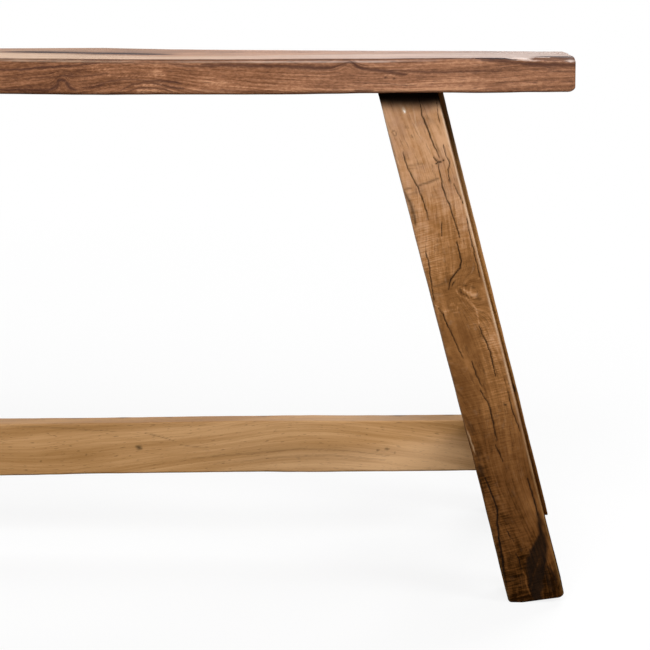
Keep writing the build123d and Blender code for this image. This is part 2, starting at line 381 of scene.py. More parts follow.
# Places where the growth rings bulge upwards round a hidden knot: along, height, spread
# along, spread up and rise, in mm
front_bulges = [(343, 431, 5, 6, 7), (404, 418, 34, 16, 10), (570, 447, 9, 9, 5)]
# Blue-black streaks and brown stains on the top, as (along, depth) in mm with half widths
# and strengths
top_streaks = [
    ([(258, 26), (278, 16), (300, 5), (326, 1), (350, -3)], 33, 1.0),
    ([(312, 4), (350, -3), (372, -10), (402, -28)], 40, 1.0),
    ([(725, -120), (738, -116), (752, -110)], 24, 1.0),
]
top_stains = [
    ([(230, 34), (276, 20), (320, 8), (380, -10)], 36, 0.30),
    ([(300, 130), (380, 128), (440, 120)], 12, 0.12),
    ([(514, 92), (530, 90)], 13, 0.7),
    ([(566, 116), (580, 108)], 10, 0.6),
    ([(520, 0), (560, -14), (600, -20)], 10, 0.3),
    ([(596, 66), (614, 60)], 10, 0.45),
    ([(688, 122), (702, 112)], 10, 0.5),
    ([(600, -110), (660, -128), (690, -150)], 12, 0.35),
]
# How far back the pale front band of the top reaches, at places along it, in mm
band_reach = {-750: 40, 100: 30, 249: 0, 299: -22, 376: -58, 416: -84, 480: -46, 640: 60, 750: 170}
# How the tones of the front and of the top change, at places along the seat in mm
front_change = {
    -750: -0.05, 300: -0.20, 380: -0.24, 430: -0.02, 500: -0.09,
    560: -0.07, 610: 0.05, 670: -0.02, 710: -0.17, 750: -0.20,
}
top_change = {294: -0.08, 350: -0.15, 406: 0.05, 520: 0.08, 620: 0.02, 690: -0.24}
# Pits on the front: along, height, spread along and spread up, in mm
front_pits = [(601, 432.5, 1.3, 0.9), (608, 432, 1.3, 0.9)]
# Pale flecks on the front, as the streaks
light_flecks = [
    ([(366, 441), (380, 439), (396, 438)], 2.2, 0.35),
    ([(380, 435), (402, 434), (426, 436)], 2.2, 0.35),
    ([(404, 422.4), (412, 423.4), (421, 422.4)], 1.5, 0.75),
    ([(402, 427.2), (412, 427.8), (421, 427.4)], 0.8, 0.6),
    ([(419, 444), (421, 436), (423, 428)], 4.0, 0.30),
    ([(600, 434.2), (604, 434.6), (610, 434)], 0.9, 0.6),
    ([(448, 425), (470, 428), (492, 425)], 2.4, 0.25),
    ([(714, 445.2), (726, 444.9), (750, 444.5)], 0.85, 0.75),
]
# Pale lines of fresh wood on the front at the chipped corner, as the streaks
chip_marks = [
    ([(690, 447.6), (702, 446.5), (712, 445.7), (722, 445.2)], 0.5, 1.0),
    ([(716, 445.4), (730, 444.8), (750, 444.3)], 0.5, 0.2),
]
# Fresh wood at the two ends of the chip's slope, as (along, depth) in mm
chip_fresh = [
    ([(694, -166), (703, -161), (710, -155)], 10, 0.95),
    ([(746, -166), (747, -150)], 3.6, 0.95),
]
# How far the top of the front edge stands up, at places along it, in mm
edge_rise = {
    294: 0.35, 342: 0.3, 374: 0.4, 406: 0.55, 454: 0.35,
    502: 0.25, 597: 0.3, 645: 0.6, 691: 0.45, 725: 0.1,
}
# At places along the front arris in mm: the half width of its dark line, how far the pale
# line lies below it, and how strong that one is. The pale line is a painted highlight.
dark_line_width = {350: 0.7, 385: 1.0, 440: 1.0, 480: 0.85}
highlight_line_drop = {370: 1.5, 500: 1.75, 600: 1.95, 640: 1.6}
edge_highlight_share = {294: 0.30, 342: 0.55, 374: 0.50, 406: 0.16, 517: 0.66, 600: 0.58, 640: 0.10, 660: 0.02}
# At places along the top in mm: how pale it is, and how strong its front band and its back
# half are
bleach_share = {294: 0.85, 350: 0.75, 406: 0.95, 518: 1.15, 573: 1.4, 640: 1.2, 690: 1.0}
front_band_share = {294: 1.6, 350: 1.75, 406: 1.7, 454: 1.45, 518: 0.95, 560: 0.85}
back_band_share = {294: 0.36, 340: 0.28, 420: 0.17}

# The plank: a box's skin with rounded edges, finest at the right end, then worn hollow
seat_columns = np.concatenate(
    [
        lines_between(-seat_half, fine_from - 2 * mm, plain_step, seat_edge_radius[0])[:-3],
        np.arange(fine_from, fine_to, fine_step),
        lines_between(0, seat_half, fine_step, seat_edge_radius[0])[-9:],
    ]
)
seat_rows = lines_between(seat_low[1], seat_high[1], row_step, seat_edge_radius[1])
seat_layers = lines_between(seat_low[2], seat_high[2], layer_step, seat_edge_radius[2])
points, quads = lattice(seat_columns, seat_rows, seat_layers)
flat_low = np.array([-seat_half, seat_low[1], seat_low[2]])
flat_high = np.array([seat_half, seat_high[1], seat_high[2]])
up_share = (points[:, 2] - seat_low[2]) / (seat_high[2] - seat_low[2])
back_share = (points[:, 1] - seat_low[1]) / seat_depth
radius = seat_bottom_radius + (seat_edge_radius - seat_bottom_radius) * up_share[:, None]
# Its ends are rounder at the back above, and its lower edges are rounder near the ends
rear_corner = np.clip((back_share - 0.78) / 0.15, 0, 1)
radius[:, 0] += (3.8 * rear_corner - 1.8) * mm * up_share
near_end = np.clip(1 - (seat_half - np.abs(points[:, 0])) / (25 * mm), 0, 1)
radius[:, 2] += 2.6 * mm * near_end * (1 - up_share)
radius *= 1 + 0.25 * drift(points, 0.11, 3)[:, None]
points, facing = soften(points, flat_low, flat_high, radius)
hollows = 0.25 + 0.16 * drift(points, 0.16, 4) + 0.08 * drift(points, 0.03, 5)
points -= facing * np.clip(hollows, 0, 1)[:, None] * mm

# Its twist and bow: the right end falls towards the back, and both faces are a little wavy.
# The share from front to back is read again, off the rounded skin.
back_share = (points[:, 1] - seat_low[1]) / seat_depth
along = points[:, 0] / mm
fall = np.clip((points[:, 0] - seat_fall_start) / (seat_half - seat_fall_start), 0, 1) ** 0.9
bow_top = 1.8 * bell(along - 250, 110) - 0.35
bow_bottom = -1.1 * np.exp(-(((along - 450) / 130) ** 4)) - 0.5 * bell(along - 680, 25)
lift = (seat_drop - seat_back_fall * fall) * back_share - seat_drop
lift += (bow_bottom + (bow_top - bow_bottom) * up_share) * mm
front_rise = read_off(along, edge_rise)
lift += front_rise * up_share * np.exp(-5 * back_share) * mm
points[:, 2] = np.minimum(points[:, 2] + lift, seat_high[2] - 0.05 * mm)
skewed = 1 + back_share * seat_skew / seat_half
points[:, 0] *= skewed

# The chipped corner: the skin is cut down to a rough slope that falls towards the corner
to_end = np.clip((points[:, 0] - seat_half + chip_start) / chip_start, 0, 1)
chip_reach = chip_depth * to_end**0.7 + mm
to_front = np.clip(1 - back_share * seat_depth / chip_reach, 0, 1)
rough = 0.5 * mm * drift(points, 0.012, 6) * to_front
chip_level = seat_high[2] - seat_drop - chip_drop * to_end * to_front + rough - 0.2 * mm
chipped = (to_front > 0) & (points[:, 2] > chip_level)
points[chipped, 2] = chip_level[chipped]

# The front: its streaks, pits and flecks, and the growth rings that all the grain follows
in_mm = points / mm
along = in_mm[:, 0]
front = np.clip((seat_low[1] + 2.4 * mm - points[:, 1]) / (1.2 * mm), 0, 1)
front_places = in_mm[:, [0, 2]]
front_places[:, 1] += 0.35 * drift(in_mm[:, [0, 2]], 9, 7)
dark = front * painted(front_places, front_streaks)
black = front * painted(front_places, front_black)
pale = front * painted(front_places, chip_marks)
mottled = 0.6 + 0.6 * drift(front_places, 2.6, 12)
shade = front * read_off(along, front_change)
shade += front * mottled * painted(front_places, light_flecks, 0.7, np.sum)
for pit in front_pits:
    dark = np.maximum(dark, front * patch(front_places, *pit))
bulge = np.zeros(len(points))
for *oval, rise in front_bulges:
    bulge += rise * patch(in_mm[:, [0, 2]], *oval) * np.exp(-6 * back_share)
pith_y = 60 + 22 * drift(in_mm[:, :1], 700, 8)
pith_z = 120 + 5 * drift(in_mm[:, :1], 420, 9)
growth = np.hypot(in_mm[:, 1] - pith_y, in_mm[:, 2] - pith_z) - bulge

# The front arris: a dark worn line along the top and, below it, a pale line that is a painted highlight
arris_top = seat_high[2] / mm - seat_drop / mm + bow_top + front_rise
line_width = read_off(along, dark_line_width)
from_line = in_mm[:, 2] - arris_top + line_width
line_dark = bell(from_line, line_width) * front
line_highlight = bell(from_line + read_off(along, highlight_line_drop), 0.75) * front
unchipped = 1 - np.clip(to_end * 4, 0, 1)
edge_highlight = read_off(along, edge_highlight_share) + 0.12 * drift(in_mm[:, :1], 60, 10)
dark = np.maximum(dark, line_dark * unchipped * (0.9 + 0.1 * drift(in_mm[:, :1], 25, 13)))
pale = np.maximum(pale, np.clip(edge_highlight, 0, 1) * line_highlight * unchipped)
# A lighter strip along the front's lower edge: painted light on its rounding, which turns away from the
# lamps
shade += 0.17 * front * bell(in_mm[:, 2] - seat_low[2] / mm, 1.6)

# The top: a pale front band, a browner back half and one blue-black streak in it
top = (facing[:, 2] > 0.7).astype(float)
top_places = in_mm[:, [0, 1]]
black = np.maximum(black, top * painted(top_places, top_streaks, 0.3))
dark = np.maximum(dark, top * painted(top_places, top_stains, 0.4))
band = read_off(along, band_reach) - in_mm[:, 1] + 6 * drift(top_places / [6, 1], 12, 11)
band = np.clip(band / 30, 0, 1)
stripes = drift(top_places / [14, 1], 42, 14)
broken = chipped * np.clip(to_end * to_front * 30, 0, 1) * np.clip((along - 713) / 4, 0, 1)
from_end = (seat_half - np.abs(points[:, 0]) / skewed) / mm
bleach = read_off(along, bleach_share)
bleach *= 1 - 0.7 * np.clip((15 - from_end) / 6, 0, 1)
front_band = 0.30 * band * read_off(along, front_band_share)
back_band = read_off(along, back_band_share) + 0.11 * stripes
pale = np.maximum(pale, top * (1 - broken) * (bleach * back_band + front_band))
pale = np.maximum(pale, 0.03 * front * np.clip((along - 500) / 60, 0, 1))
pale = np.maximum(pale, chipped * painted(top_places, chip_fresh, 0.5))
tone_change = read_off(along, top_change) - 0.08 + 0.10 * stripes * (1 - band)
shade += top * tone_change - 0.22 * broken
fields = {
    "growth": growth * mm,
    "dark": dark,
    "pale": pale,
    "black": black,
    "shade": shade,
    "rough": broken,
}
make_piece("seat_plank", points, quads, fields, seat_teak, "seat")

# Legs: square posts of old teak, splayed along the bench, sawn and left rough, with
# drying cracks, a knot and worn soles. Pegged mortises take the cross rails.
splay = radians(14.5)
leg_low, leg_high = (np.array(corner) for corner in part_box("leg_front_right"))
leg_width = 47 * mm
leg_depth = leg_high[1] - leg_low[1]
leg_face_y = -leg_low[1]
leg_top = leg_high[2]
leg_foot_x = leg_low[0] + leg_top * tan(splay)
leg_arris = 2.5 * mm
leg_steps = (0.62 * mm, 1.7 * mm)
leg_rows = 352
sole_flat = 10.6 * mm
toe_corner = 2.3 * mm
side_corner = 0.8 * mm
peg_radius = 4 * mm
peg_in = 34 * mm
peg_ups = (101.7 * mm, 402.5 * mm)
# How far the inner sides, and the outer sides of front and rear legs, have worn in at some
# heights, in mm, less than 0 where a side stands proud
inner_wear = {
    0: -0.45, 30: -0.45, 60: 0, 110: 0.45, 180: 0.45, 205: 0.3, 240: 0.28,
    262: 0.2, 285: 0, 335: 0, 355: -0.35, 385: -0.3, 405: 0,
}
front_wear = {0: 0.7, 115: 0.7, 150: 0.35}
rear_wear = {0: 0.7, 80: 0.7, 110: 0, 210: 0.1, 300: 0, 370: -0.4, 405: -0.9}

leg_tones = [
    (0.0, (0.014, 0.005, 0.001)),
    (0.12, (0.060, 0.022, 0.005)),
    (0.25, (0.117, 0.045, 0.012)),
    (0.42, (0.177, 0.073, 0.022)),
    (0.60, (0.265, 0.117, 0.038)),
    (0.72, (0.370, 0.172, 0.064)),
    (0.84, (0.480, 0.250, 0.118)),
    (1.0, (0.600, 0.335, 0.180)),
]
leg_black = (0.010, 0.006, 0.004, 1)
leg_pale = (0.68, 0.49, 0.33, 1)
leg_amber = (0.47, 0.28, 0.10, 1)
leg_white = (0.95, 0.94, 0.92, 1)
leg_mauve = (0.30, 0.165, 0.110, 1)
rear_gold_low = (0.042, 0.012, 0.002, 1)
rear_gold_high = (0.500, 0.200, 0.036, 1)


def leg_finish(name, lean):
    """Old teak that darkens towards the foot, partly its own colour and partly painted shade of
    the light from above, with sawn ridges across it. The lean is 1 for posts on the right of
    the bench and -1 on the left."""
    finish, wood = new_finish(name)
    place = wood.place()
    along = place.part("Z") * cos(splay) - place.part("X") * (lean * sin(splay))
    growth = wood.field("growth")
    rings, fibres, pores = grain(wood, growth, along, place.part("Y"))
    flecks = wood.joined(growth, along * 0.22, place.part("Y") * 0.6).noise(650, 2)
    flecks = flecks.between(0.58, 0.75)
    blotches = place.noise(34, 3).between(0.3, 0.7)
    mottle = place.noise(190, 3, 0.6).between(0.35, 0.65)
    ridges = wood.joined(along, growth * 0.14, place.part("Y") * 0.1)
    ridges = ridges.noise(760, 1, 0.6).between(0.36, 0.64)
    sawn = wood.field("sawn")
    height = place.part("Z") / leg_top
    # The height term darkens towards the foot: partly the wood's own colour, partly painted shade
    shade = height + rings * 0.10 + blotches * 0.13 + fibres * 0.11 + mottle * 0.08 - 0.20
    shade = shade + (ridges - 0.5) * sawn * 0.12 + wood.field("shade")
    colour = shade.node("ValToRGB", {"stops": leg_tones}, {0: shade})
    greyed = place.noise(60, 2).between(0.45, 0.75) * height.between(0.62, 0.95)
    colour = (greyed * 0.45).tint(colour, leg_mauve)
    # Rear posts are tinted golden: partly their own tone, partly painted light that makes up for the shade
    # of the seat and front legs
    rear = place.part("Y").between(0, 0.1)
    gold = shade.between(0.2, 1.1).tint(rear_gold_low, rear_gold_high)
    colour = (rear * 0.75).tint(colour, gold)
    colour = (pores * 0.28).tint(colour, leg_black)
    colour = (flecks * 0.12 * height).tint(colour, leg_pale)
    # The colour of the pale marks, mostly painted highlights on edges: amber low down and on the rear posts
    edge_highlight = (height.between(0.1, 0.5) * (1.0 - rear * 0.8)).tint(leg_amber, leg_pale)
    colour = (wood.field("pale") * (0.25 + height * 0.75)).tint(colour, edge_highlight)
    colour = wood.field("dark").tint(colour, leg_black)
    colour = wood.field("pale").between(1.0, 1.3).tint(colour, leg_white)
    sheen = 0.6 + fibres * 0.1 + pores * 0.1
    relief = fibres * 0.35 + rings * 0.35 - pores * 0.5 + ridges * sawn * 0.8 + mottle * 0.3
    coat(wood, colour, sheen, relief, 0.22 * mm, specular=0.0)
    return finish


leg_finishes = {1: leg_finish("leg_teak_right", 1), -1: leg_finish("leg_teak_left", -1)}

# Cracks on the front of the front right leg, as (across, height) in mm, with half widths
photo_cracks = [
    ([(31.2, 418), (30.3, 402), (32.0, 391), (33.2, 380), (35.6, 368)], 0.55),
    ([(30.8, 369), (32.2, 366), (33.6, 364), (38.6, 366)], 0.6),
    ([(30.5, 362.5), (33.2, 363.8)], 0.45),
    (
        [
            (33.2, 365), (32.6, 351), (31.9, 346), (32.4, 338),
            (33.8, 330), (34.4, 318), (35.3, 308), (34.9, 303),
        ],
        0.5,
    ),
    ([(31.8, 300), (32.1, 291), (31.9, 285), (29.7, 279), (23.6, 273.5), (19.4, 269.4), (15.9, 262)], 0.6),
    ([(22.7, 268.6), (21.1, 266.8), (19.6, 264.5)], 0.45),
    ([(23.9, 316.5), (22.6, 311.2), (21.7, 305.2)], 0.4),
    ([(8.6, 373), (8.4, 364), (9.6, 357), (12.6, 345.7), (14.2, 332), (14.5, 325), (14.2, 319)], 0.5),
    ([(38, 351), (38.6, 347)], 0.3),
    ([(40.8, 378), (41, 369), (42.3, 364), (39.8, 359), (39.0, 353), (39.4, 345)], 0.4),
    ([(45.0, 416), (42.8, 405), (42.8, 396)], 0.3),
    ([(41.7, 346.4), (42.3, 341), (43.7, 336.4), (44.6, 331)], 0.35),
    ([(44.5, 319), (44.1, 309.5), (43.7, 300.7), (43.6, 289.8), (43.5, 278.9), (43.2, 270.8)], 0.4),
    ([(33.0, 231.7), (33.2, 226), (35.0, 219), (36.2, 208), (36.0, 196), (35.6, 189)], 0.55),
    ([(19.7, 203), (20.5, 191.5), (22.9, 181)], 0.45),
    ([(20.4, 178.5), (24.6, 166), (24.2, 152), (23.5, 135)], 0.55),
    ([(21.7, 133), (24.4, 118)], 0.45),
    ([(42.2, 176), (42.2, 158), (44.0, 142)], 0.45),
    ([(5.3, 293), (5.9, 288), (5.3, 279), (4.3, 271), (3.2, 262.6), (1.9, 252)], 0.4),
    ([(4.1, 247), (6.5, 242), (6.7, 238), (8.3, 231), (9.3, 226), (11.2, 216), (13.4, 205)], 0.5),
    ([(6.4, 106), (8.8, 91), (10.0, 80), (6.9, 66), (4.6, 47), (4.2, 35), (1.9, 24), (1.1, 10)], 0.8),
    ([(40.5, 103), (41.3, 92), (41.6, 79), (41.8, 68)], 0.7),
    ([(13.5, 61), (14.8, 57), (16.9, 51.7)], 0.35),
    ([(16, 41.4), (17.4, 36.5), (17.4, 31.5), (17.7, 26.6)], 0.4),
    ([(1.5, 112), (1.4, 100), (1.9, 88)], 0.6),
]
# Pale marks there, with half widths and strengths: painted highlights on the edge and on a split's lit edge
photo_pale = [
    ([(1.4, 146), (2.6, 137), (3.4, 126)], 0.6, 1.0),
    ([(25.2, 418), (24.6, 405), (23.8, 394), (25.5, 383)], 0.5, 0.35),
]
# Ochre marks round the knot and at the foot, as above. They only lift the tone, by a share
# of their strength
ochre_lift = 0.72
photo_light = [
    (
        [
            (21.9, 261.8), (22.6, 258.7), (24.6, 256.8), (30.3, 253.7),
            (33.1, 248), (33.7, 244.6), (33.1, 234.8),
        ],
        0.9,
        0.30,
    ),
    ([(28.5, 262), (31.5, 260.5), (35, 259), (37, 258.5)], 2.2, 0.30),
    ([(30, 259.5), (33.5, 257.3), (35.8, 257)], 2.2, 0.30),
    ([(33.2, 262.5), (34.2, 265), (35.4, 267)], 0.9, 0.26),
    ([(24.7, 264.7), (27.5, 262.5), (29.5, 260.5)], 1.0, 0.26),
    ([(13.7, 249), (15.8, 250.2), (18.2, 250.2)], 0.9, 0.32),
    ([(8.1, 243.9), (12.9, 245.5), (17.6, 246.4)], 0.8, 0.24),
    ([(15.3, 243.3), (19.1, 244.3)], 0.6, 0.26),
    ([(19.5, 248.6), (19.4, 246.4)], 0.7, 0.36),
    ([(20.7, 250.8), (24.4, 251.5)], 0.9, 0.18),
    ([(40.7, 271.9), (42.6, 271.2)], 0.7, 0.30),
    ([(2.5, 249.3), (4.9, 248)], 0.6, 0.30),
    ([(17.7, 27), (19, 22.5), (18, 16.7), (18.4, 10.2), (19.2, 6)], 0.7, 0.30),
    ([(22.4, 16.7), (20.7, 11)], 0.8, 0.25),
]
# Lighter curves inside the dark leaf at its foot
leaf_gaps = [
    ([(32.8, 37.3), (30.3, 31.5), (25.8, 24.9), (22.4, 15.1)], 0.7, 0.30),
    ([(34.5, 40), (33.5, 36), (33, 32)], 0.6, 0.20),
]
# Dark marks there
photo_dark = [
    ([(36.6, 28), (40.1, 25.7), (42.5, 20), (43, 12)], 1.3, 0.7),
    ([(37.4, 24), (36.9, 15), (38, 7)], 1.8, 0.6),
    ([(4.6, 117), (5.4, 108)], 2.4, 0.65),
    ([(5.4, 129), (5.2, 121)], 2.2, 0.45),
    ([(4.6, 152), (5.0, 142)], 2.0, 0.4),
    ([(1.2, 341), (3.4, 333), (4.2, 326), (3.4, 315)], 1.7, 0.7),
    ([(1.7, 343.2), (7.8, 344.5)], 0.9, 0.5),
    ([(13.3, 346), (23.8, 349.3), (30.6, 351)], 0.9, 0.6),
    ([(2.4, 338.4), (11.4, 341.1), (17, 342.7)], 0.9, 0.25),
    ([(4.6, 264.3), (12.4, 267.4), (18.6, 269.1)], 0.9, 0.45),
    ([(3.8, 258.2), (11.8, 259.6)], 0.7, 0.3),
    ([(4.0, 389), (5.4, 390.4), (6.8, 389), (6.4, 386.8), (4.8, 386.8), (4.0, 389)], 0.4, 0.6),
    ([(14.8, 393), (16.2, 394.6), (17.6, 393), (16.4, 391.6), (14.8, 393)], 0.4, 0.35),
    ([(36.5, 166), (38.4, 164.4)], 0.8, 0.9),
    ([(18.4, 386.5), (18.9, 384.5)], 0.7, 0.6),
    ([(34.5, 400), (38.5, 396)], 2.6, 0.2),
    ([(9, 362), (22, 364)], 0.9, 0.3),
    ([(9, 359.5), (20, 361)], 0.7, 0.25),
    ([(2, 338), (8, 340)], 0.8, 0.3),
    ([(28.8, 264.3), (30.6, 264.7)], 0.9, 0.5),
    ([(25.2, 262.2), (25.9, 259.9)], 1.0, 0.55),
    ([(34.4, 263.9), (36.8, 262.1)], 1.1, 0.5),
    ([(23.6, 260.3), (25.7, 259), (28.1, 256.8), (30.3, 254.9)], 0.7, 0.55),
    ([(38.5, 259.3), (38.4, 257.4), (36.9, 255.2), (38.4, 252.7), (40.6, 253.4)], 1.0, 0.4),
    ([(31.8, 254.1), (32.9, 254.6)], 0.6, 0.6),
]
# Broad lighter and darker patches of the front right leg: across, height, spread across
# and spread up, in mm, and the change of tone. The darker ones at 407 and 399 mm, just
# under the seat, are painted shade
photo_patches = [
    (8, 322, 10, 26, 0.14),
    (24, 299, 12, 30, -0.13),
    (41, 282, 9, 14, -0.20),
    (18, 258, 20, 18, -0.16),
    (30, 236, 18, 12, -0.08),
    (40, 219, 9, 16, 0.27),
    (8, 182, 9, 45, -0.12),
    (34, 174, 16, 26, 0.20),
    (8, 121, 8, 8, 0.08),
    (38, 84, 10, 20, 0.16),
    (14, 101, 15, 11, -0.09),
    (8, 40, 9, 32, 0.14),
    (41, 42, 5, 10, 0.10),
    (42, 14, 8, 16, -0.07),
    (23, 407, 14, 9, -0.20),
    (14, 280, 14, 10, 0.07),
    (8, 241, 8, 9, 0.10),
    (24, 221, 8, 10, -0.06),
    (40, 200, 8, 9, 0.09),
    (42, 384, 7, 12, 0.12),
    (29, 399, 18, 6, -0.11),
    (40, 335, 8, 10, 0.08),
]
# The same for the rear right leg, and one dark mark on the face that looks forwards
rear_patches = [(44, 266, 30, 50, 0.13), (44, 385, 30, 24, -0.13), (44, 128, 30, 16, -0.09)]
rear_dark = [([(44.3, 128), (44.3, 123)], 2.2, 0.8)]
# The dark leaf of heartwood at the front right leg's foot: its middle across and its half
# width at some heights, in mm
leaf_middle = {
    0: 23.5, 7: 24, 15: 25.4, 23: 27, 31: 29.2, 40: 32, 48: 36.6, 58: 39.8, 68: 41, 78: 41.5,
}
leaf_half_width = {
    0: 3, 7: 4, 15: 5.8, 23: 6.9, 31: 7.8, 40: 7.7, 48: 5.8, 58: 3.1, 68: 1.8, 78: 0.4, 84: -4,
}
# Knot on that face: across, height, spread across and spread up, then how far the growth
# rings swell round it, in mm
photo_knot = (33, 259, 9, 13.5)
knot_swell = 13
# A white speck near its top: across and height, and its size, in mm
fleck_place = (17.2, 406.6)
fleck_size = (1.2, 2.6)
# How bright the rear legs' painted highlight along their golden edge is, at some heights in mm
rim_highlight_strength = {60: 0.6, 300: 0.7, 340: 0.95}
# Painted shade under the seat, darkening the legs' tops: the height where it starts in the
# middle of a face, how much higher it starts at the edges, and how soon it is full, in mm
seat_shadow_start = 402.5
seat_shadow_curve = 1.5
seat_shadow_fade = 12


def drying_cracks(chance, width, count):
    """Cracks that wander down a face, each a line of six points drifting sideways, and
    their half widths, in mm."""
    cracks = []
    for _ in range(count):
        length = chance.uniform(40, 150)
        heights = chance.uniform(length + 5, leg_top / mm - 5) - np.linspace(0, length, 6)
        across = chance.uniform(0.12, 0.88) * width + np.cumsum(chance.normal(0, 1.1, 6))
        cracks.append((np.stack([across, heights], axis=1), chance.uniform(0.3, 0.6)))
    return cracks


def corner_rise(distance, radius):
    """Height of a quarter round at a distance in from its edge."""
    return radius - np.sqrt(radius**2 - (radius - np.clip(distance, 0, radius)) ** 2)


def pin(start, end, radius):
    """A round pin along X: a lattice whose square section is softened into a circle."""
    lines = np.linspace(-radius, radius, 9)
    points, quads = lattice(np.linspace(start, end, 2), lines, lines)
    points[:, 1:] = soften(points[:, 1:], -radius, radius, radius)[0]
    return points, quads


def face_marks(chance, side, end, face, width):
    """Cracks, dark marks and pale marks of one face of a post. The front right leg's outer
    face has listed ones, and the rear right leg's inner face has one dark mark."""
    if (side, end, face) == (1, -1, "outer face"):
        return photo_cracks, photo_dark, photo_pale
    cracks = drying_cracks(chance, width / mm, 6)
    if (side, end, face) == (1, 1, "inner face"):
        return [], rear_dark, []
    return cracks, [], []


def painted_faces(points, faces, side, end, seed):
    """Shares of cracks, dark marks and pale marks at a post's points, face by face. Where a
    mark runs wanders a little."""
    chance = np.random.default_rng(seed)
    crack, dark, pale = np.zeros((3, len(points)))
    for face, (on_face, column, width) in faces.items():
        places = points[on_face][:, [column, 2]] / mm
        wander = [drift(places, 7, seed + 3), drift(places, 9, seed + 4)]
        places += 0.3 * np.stack(wander, axis=1)
        cracks, darks, pales = face_marks(chance, side, end, face, width)
        cracks = [(line, half_width, 1) for line, half_width in cracks]
        crack[on_face] = np.maximum(crack[on_face], painted(places, cracks, 0.5))
        dark[on_face] = np.maximum(dark[on_face], painted(places, darks, 0.6))
        pale[on_face] = np.maximum(pale[on_face], painted(places, pales, 0.4))
    return crack, dark, pale


def worn_post(points, crack, end, heel_rise, heel_corner, seed):
    """A post's plan, across it and inwards, and its heights. Its arrises are rounded, its
    faces sink in hollows and cracks, its sides are worn, and its sole rises from a flat
    towards the heel with a quarter round at each edge."""
    size = np.array([leg_width, leg_depth])
    radius = leg_arris * (0.9 + 0.35 * drift(points, 0.07, seed))[:, None] * np.ones(2)
    plan, facing = soften(points[:, :2], np.zeros(2), size, np.clip(radius, mm, 3.4 * mm))
    hollows = 0.3 + 0.22 * drift(points, 0.12, seed + 1) + 0.1 * drift(points, 0.02, seed + 2)
    depth = np.clip(hollows, 0.12, 1) + 0.8 * crack
    plan -= facing * depth[:, None] * mm
    inner = read_off(points[:, 2] / mm, inner_wear) * mm
    outer = read_off(points[:, 2] / mm, rear_wear if end > 0 else front_wear) * mm
    plan[:, 0] += inner + (-outer - inner) * plan[:, 0] / leg_width
    sole = np.clip((plan[:, 0] - sole_flat) / (leg_width - sole_flat), 0, 1) * heel_rise
    sole += corner_rise(plan[:, 0], toe_corner) + corner_rise(leg_width - plan[:, 0], heel_corner)
    sole += corner_rise(plan[:, 1], side_corner) + corner_rise(leg_depth - plan[:, 1], side_corner)
    rise = points[:, 2] / leg_top
    return plan, sole + (leg_top - sole) * rise


def post_looks(points, plan, height, marks, side, end, seed):
    """What a post's finish reads at each point. The growth is the distance to a wandering
    pith, swollen round the knot, and the shade is a sum of broad patches."""
    crack, dark, pale = marks
    shade = np.zeros(len(points))
    across, inwards = plan.T / mm
    tall = height / mm
    from_side = leg_width / mm - across
    places = np.stack([across, tall], axis=1)
    pith_across = -14 + 9 * drift(tall[:, None], 230, seed + 5)
    pith_inwards = 58 + 9 * drift(tall[:, None], 300, seed + 6)
    growth = np.hypot(across - pith_across, inwards - pith_inwards)
    growth += knot_swell * patch(places, *photo_knot) * np.exp(-inwards / 20)
    sawn = np.clip(0.55 + 0.6 * drift(points / [1, 1, 3], 0.03, seed + 7), 0, 1)
    sawn *= np.clip((390 * mm - points[:, 2]) / (90 * mm), 0.08, 1)

    # The arrises of the outer face are painted pale: a painted highlight where the rounded edges catch the
    # light
    arris_highlight = np.maximum(bell(from_side - 1.0, 1.1), 0.4 * bell(across - 0.8, 0.8))
    arris_highlight *= np.clip(1.6 - inwards / 2, 0, 1)
    pale = np.maximum(pale, 0.95 * arris_highlight * (0.85 + 0.3 * drift(points, 0.05, seed + 8)))

    # The front right leg's white speck, dark leaf and ochre marks
    if side > 0 and end < 0:
        on_front = points[:, 1] == 0
        fleck = (((places - fleck_place) / fleck_size) ** 2).sum(axis=1)
        pale = np.maximum(pale, on_front * np.clip(1.6 - fleck, 0, 1) * 1.6)
        leaf = read_off(tall, leaf_half_width) - np.abs(across - read_off(tall, leaf_middle))
        leaf += 0.9 * drift(points, 0.010, seed + 9)
        leaf_dark = 0.88 + 0.08 * drift(places / [1, 7], 3.2, seed + 10)
        leaf_dark -= painted(places, leaf_gaps, 0.5, np.sum)
        dark = np.maximum(dark, leaf_dark * on_front * np.clip(leaf / 2.4 + 0.5, 0, 1))
        shade += ochre_lift * on_front * painted(places, photo_light, 0.6, np.sum)

    # The painted shade under the seat, and the broad patches
    seat_shadow_edge = seat_shadow_start + seat_shadow_curve * (2 * across * mm / leg_width - 1) ** 2
    seat_shadow = np.clip((tall - seat_shadow_edge) / seat_shadow_fade, 0, 1)
    dark = np.clip(np.maximum(dark, crack * 1.15), 0, 1)
    dark = np.maximum(dark, 0.99 * seat_shadow**2 * (3 - 2 * seat_shadow))
    pale *= 1 - seat_shadow
    patches = (photo_patches if end < 0 else rear_patches) if side > 0 else []
    for *oval, change in patches:
        shade += change * patch(places, *oval)

    # A rear post's outer edge on the face that looks forwards: a painted golden highlight and a lighter
    # tone beside it
    if end > 0:
        rim_highlight = bell(np.clip(from_side - 0.4, 0, None), 0.9) * (1 - seat_shadow)
        rim_highlight *= read_off(tall, rim_highlight_strength)
        pale = np.maximum(0.3 * pale, rim_highlight * np.clip((inwards - 42) / 3, 0, 1))
        shade += 0.32 * bell(from_side - 0.9, 1.4) * (1 - seat_shadow)
    return {"growth": growth * mm, "dark": dark, "pale": pale, "sawn": sawn, "shade": shade}


